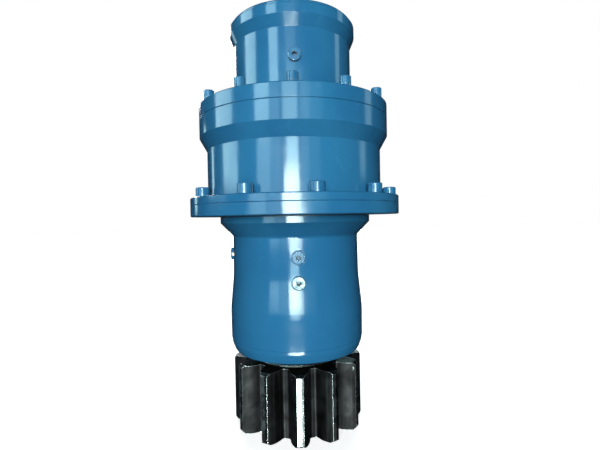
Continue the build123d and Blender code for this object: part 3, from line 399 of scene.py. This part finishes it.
def ground_steel(name, tone, shine, grain):
    """Bare machined steel: tone is its grey, shine its smoothest roughness, grain the marks across it."""
    steel = Finish(name, 1.0, 0.3)
    light = (tone, tone, tone * 1.02, 1)
    dark = (tone * 0.62, tone * 0.6, tone * 0.58, 1)
    steel.colour(steel.mix(steel.span(steel.noise(75.0, 5.0, distortion=0.5), 0.35, 0.7), light, dark))
    steel.roughness(steel.span(steel.noise(150.0, 4.0), 0.3, 0.7, shine, shine + 0.14))
    marks = steel.noise(1.0, 3.0, steel.stretched(40.0, 40.0, 900.0))
    steel.normal(steel.bump(marks, 0.03 * MM, grain, steel.rounded_edges(0.4 * MM)))
    return steel.material


def cast_iron(name):
    """Machined nodular iron, grey with dark graphite specks."""
    iron = Finish(name, 1.0, 0.45)
    grain = iron.span(iron.cells(900.0), 0.08, 0.22)
    body = iron.mix(iron.noise(60.0, 5.0), IRON_DARK, IRON_PALE)
    iron.colour(iron.mix(grain, GRAPHITE, body))
    iron.roughness(iron.span(iron.noise(120.0, 4.0), 0.3, 0.7, 0.34, 0.52))
    marks = iron.noise(1.0, 3.0, iron.stretched(30.0, 30.0, 700.0))
    iron.normal(iron.bump(marks, 0.05 * MM, 0.4, iron.rounded_edges(0.5 * MM)))
    return iron.material


def copper_alloy(name, light, dark, grain):
    """Bronze or copper, tarnished unevenly."""
    metal = Finish(name, 1.0, 0.3)
    metal.colour(metal.mix(metal.span(metal.noise(110.0, 5.0, distortion=0.6), 0.35, 0.7), light, dark))
    metal.roughness(metal.span(metal.noise(180.0, 3.0), 0.3, 0.7, 0.2, 0.42))
    marks = metal.noise(1.0, 3.0, metal.stretched(30.0, 30.0, 800.0))
    metal.normal(metal.bump(marks, 0.04 * MM, grain))
    return metal.material


def black_rubber(name):
    """Moulded nitrile rubber with a dusty bloom."""
    rubber = Finish(name, 0.0, 0.55)
    bloom = rubber.span(rubber.noise(90.0, 5.0), 0.45, 0.75)
    rubber.colour(rubber.mix(bloom, RUBBER_BLACK, RUBBER_BLOOM))
    rubber.roughness(rubber.span(rubber.noise(210.0, 3.0), 0.3, 0.7, 0.42, 0.68))
    rubber.normal(rubber.bump(rubber.noise(900.0, 2.0), 0.03 * MM, 0.5))
    return rubber.material


def friction_lining(name):
    """Sintered lining: brown, with copper grains."""
    lining = Finish(name, 0.35, 0.7)
    grains = lining.span(lining.cells(700.0), 0.12, 0.2)
    matrix = lining.mix(lining.noise(130.0, 5.0), LINING_DARK, LINING_PALE)
    lining.colour(lining.mix(grains, LINING_COPPER, matrix))
    lining.roughness(lining.span(lining.noise(300.0, 3.0), 0.3, 0.7, 0.55, 0.8))
    lining.normal(lining.bump(lining.cells(700.0), 0.08 * MM, 0.5))
    return lining.material


FINISHES = {
    "housing_paint": gloss_paint("housing_enamel", 0.16),
    "screw_paint": screw_paint("screw_enamel"),
    "plated_steel": plated_steel("zinc_plate"),
    "pinion_steel": pinion_steel("pinion_black_steel"),
    "gear_steel": ground_steel("ground_gear_steel", 0.46, 0.20, 0.35),
    "carrier_iron": cast_iron("machined_iron"),
    "bearing_steel": ground_steel("polished_bearing_steel", 0.66, 0.08, 0.12),
    "bush_bronze": copper_alloy("turned_bronze", BRONZE, BRONZE_TARNISH, 0.4),
    "spring_steel": ground_steel("blackened_spring_steel", 0.13, 0.30, 0.2),
    "seal_rubber": black_rubber("nitrile_rubber"),
    "copper_washer": copper_alloy("soft_copper", COPPER, COPPER_TARNISH, 0.25),
    "disc_steel": ground_steel("ground_disc_steel", 0.50, 0.24, 0.5),
    "disc_lining": friction_lining("sintered_lining"),
}

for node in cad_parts.values():
    for place in node.material_slots:
        place.material = FINISHES[place.material.name]


# ---------------------------------------------------------------- brake springs
def make_springs():
    """The brake springs as a piece of their own on the housing's body, in place of the CAD node."""
    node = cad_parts["brake_springs"]
    springs = add_object("brake_spring_set", node.data.copy())
    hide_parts("brake_springs")
    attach(springs, "housing")
    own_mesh(springs)


make_springs()


# ---------------------------------------------------------------- studio
STUDIO_RADIUS = 26.0
COOL = (0.60, 0.95, 1.0)
DAYLIGHT = (0.80, 1.0, 0.96)
VIEW_TURN = -2.7  # the camera stands this many degrees round from the -Y axis


def softbox(name, direction, elevation, wide, high, radiance, tint=(1, 1, 1), mirrored=True, lit=True):
    """A rectangular light on a sphere round the gearbox. direction counts from the -Y axis, positive to the
    camera's right; all angles are in degrees, wide and high as seen from the gearbox. mirrored says whether
    gloss shows it, and lit whether it brightens matt surfaces."""
    lamp = bpy.data.lights.new(name, "AREA")
    lamp.shape = "RECTANGLE"
    lamp.size = 2 * STUDIO_RADIUS * tan(radians(wide / 2))
    lamp.size_y = 2 * STUDIO_RADIUS * tan(radians(high / 2))
    lamp.energy = radiance * pi * lamp.size * lamp.size_y
    lamp.color = tint
    holder = add_object(name, lamp)
    turn, rise = radians(direction), radians(elevation)
    away = Vector((sin(turn) * cos(rise), -cos(turn) * cos(rise), sin(rise)))
    holder.location = STUDIO_RADIUS * away
    holder.rotation_euler = away.to_track_quat("Z", "Y").to_euler()
    holder.visible_camera = False
    holder.visible_glossy = mirrored
    holder.visible_diffuse = lit


# in front: together they make the broad highlight down the middle
softbox("front_main", VIEW_TURN - 2.5, 2.3, 18, 10.2, 30, DAYLIGHT)
softbox("front_step", VIEW_TURN + 9, -0.6, 6, 4.4, 20, DAYLIGHT)
softbox("front_fade", VIEW_TURN - 1, 9.7, 14, 4.5, 14, COOL)
softbox("front_high", VIEW_TURN - 3, 16, 16, 8, 6, COOL)
softbox("front_top", VIEW_TURN - 3, 24, 18, 8, 1.6, COOL)
softbox("front_low", VIEW_TURN - 2, -6, 15, 6.4, 9, COOL)
softbox("front_floor", VIEW_TURN - 1, -27, 22, 10, 40, DAYLIGHT, lit=False)

# to the right: the soft fall-off beside the highlight
softbox("right_glow", VIEW_TURN + 14, 9, 10, 23, 2.2, COOL, lit=False)
softbox("right_glow_end", VIEW_TURN + 26, 9, 14, 23, 0.9, COOL, lit=False)

# to the left: the second highlight, the gap between it and the first, and the outline
softbox("left_near", VIEW_TURN - 35, 20.7, 16, 18, 8, COOL, lit=False)
softbox("left_near_low", VIEW_TURN - 37, 4.5, 18, 14.4, 4.5, COOL, lit=False)
softbox("left_gap", VIEW_TURN - 21, 8, 12, 22, 2.6, COOL, lit=False)
softbox("left_side", VIEW_TURN - 87, 18, 26, 28, 6.5, COOL, lit=False)
softbox("left_far", VIEW_TURN - 165, 22, 30, 12, 12, lit=False)
softbox("left_far_strip", VIEW_TURN - 128, 7, 6, 12, 3.5, COOL, lit=False)

# the right outline, and a strip for the views from behind
softbox("right_side", VIEW_TURN + 98, 18, 11, 24, 2.0, COOL, lit=False)
softbox("back_strip", 174, 10, 9, 50, 9, COOL)

# soft light that gloss doesn't show
softbox("key", VIEW_TURN - 4, 15, 34, 26, 9, mirrored=False)
softbox("low_fill", VIEW_TURN - 4, -25, 40, 30, 1.5, mirrored=False)
softbox("back_fill", 178, 25, 50, 40, 5.5, mirrored=False)


ROOM_GREY = (0.014, 0.016, 0.020, 1)
WHITE = (1, 1, 1, 1)
FLOOR_REACH = 12.0
FLOOR_GAP = 0.2 * MM
FLOOR_PALE = (0.84, 0.84, 0.84, 1)
FLOOR_GREY = (0.80, 0.80, 0.80, 1)


def make_world():
    """A dim grey room that the camera sees as plain white."""
    world = bpy.data.worlds.new("studio")
    world.use_nodes = True
    room = Nodes(world.node_tree)
    seen = room.tree.nodes.new("ShaderNodeLightPath").outputs["Is Camera Ray"]
    background = room.tree.nodes["Background"]
    room.put(background.inputs["Strength"], 1.0)
    room.put(background.inputs["Color"], room.mix(seen, ROOM_GREY, WHITE))
    bpy.context.scene.world = world


def make_floor():
    """A plain pale floor under the pinion. It glows, so that it fades into the white room. The gearbox
    doesn't reflect it, and it blocks no light."""
    mesh = bpy.data.meshes.new("floor")
    signs = ((-1, -1), (1, -1), (1, 1), (-1, 1))
    mesh.from_pydata([(x * FLOOR_REACH, y * FLOOR_REACH, 0) for x, y in signs], [], [(0, 1, 2, 3)])
    floor = add_object("floor", mesh)
    floor.location = (0, 0, cad_low.z - FLOOR_GAP)
    pale = Finish("pale_floor", 0.0, 0.9)
    pale.colour(pale.mix(pale.noise(3.0, 3.0), FLOOR_GREY, FLOOR_PALE))
    pale.put(pale.shader.inputs["Emission Color"], WHITE)
    _, away = pale.axis_values()
    pale.put(pale.shader.inputs["Emission Strength"], pale.span(away, 0.3, 2.0, 0.7, 1.0))
    mesh.materials.append(pale.material)
    floor.visible_glossy = False
    floor.visible_diffuse = False
    floor.visible_shadow = False


CAMERA_PLACE = (-0.0267, -0.7596, -0.0059)
CAMERA_PITCH = -0.9
CAMERA_ROLL = 1.06
CAMERA_LENS = 24.13  # in millimetres, as the sensor's width is
SENSOR_WIDTH = 36.0


def make_camera():
    """The photograph's camera, almost level with the mounting face. It looks a little down and is rolled by
    about a degree."""
    pitch, roll, turn = radians(CAMERA_PITCH), radians(CAMERA_ROLL), radians(-VIEW_TURN)
    forward = Vector((sin(turn) * cos(pitch), cos(turn) * cos(pitch), sin(pitch)))
    right = forward.cross(Vector((0, 0, 1))).normalized()
    up = right.cross(forward)
    rolled_right = right * cos(roll) - up * sin(roll)
    rolled_up = up * cos(roll) + right * sin(roll)
    data = bpy.data.cameras.new("camera")
    data.sensor_width = SENSOR_WIDTH
    data.lens = CAMERA_LENS
    data.clip_start = 0.01
    camera = add_object("camera", data)
    turned = Matrix((rolled_right, rolled_up, -forward)).transposed().to_4x4()
    camera.matrix_world = Matrix.Translation(CAMERA_PLACE) @ turned
    bpy.context.scene.camera = camera


make_world()
make_floor()
make_camera()
bpy.context.scene.view_settings.view_transform = "Standard"
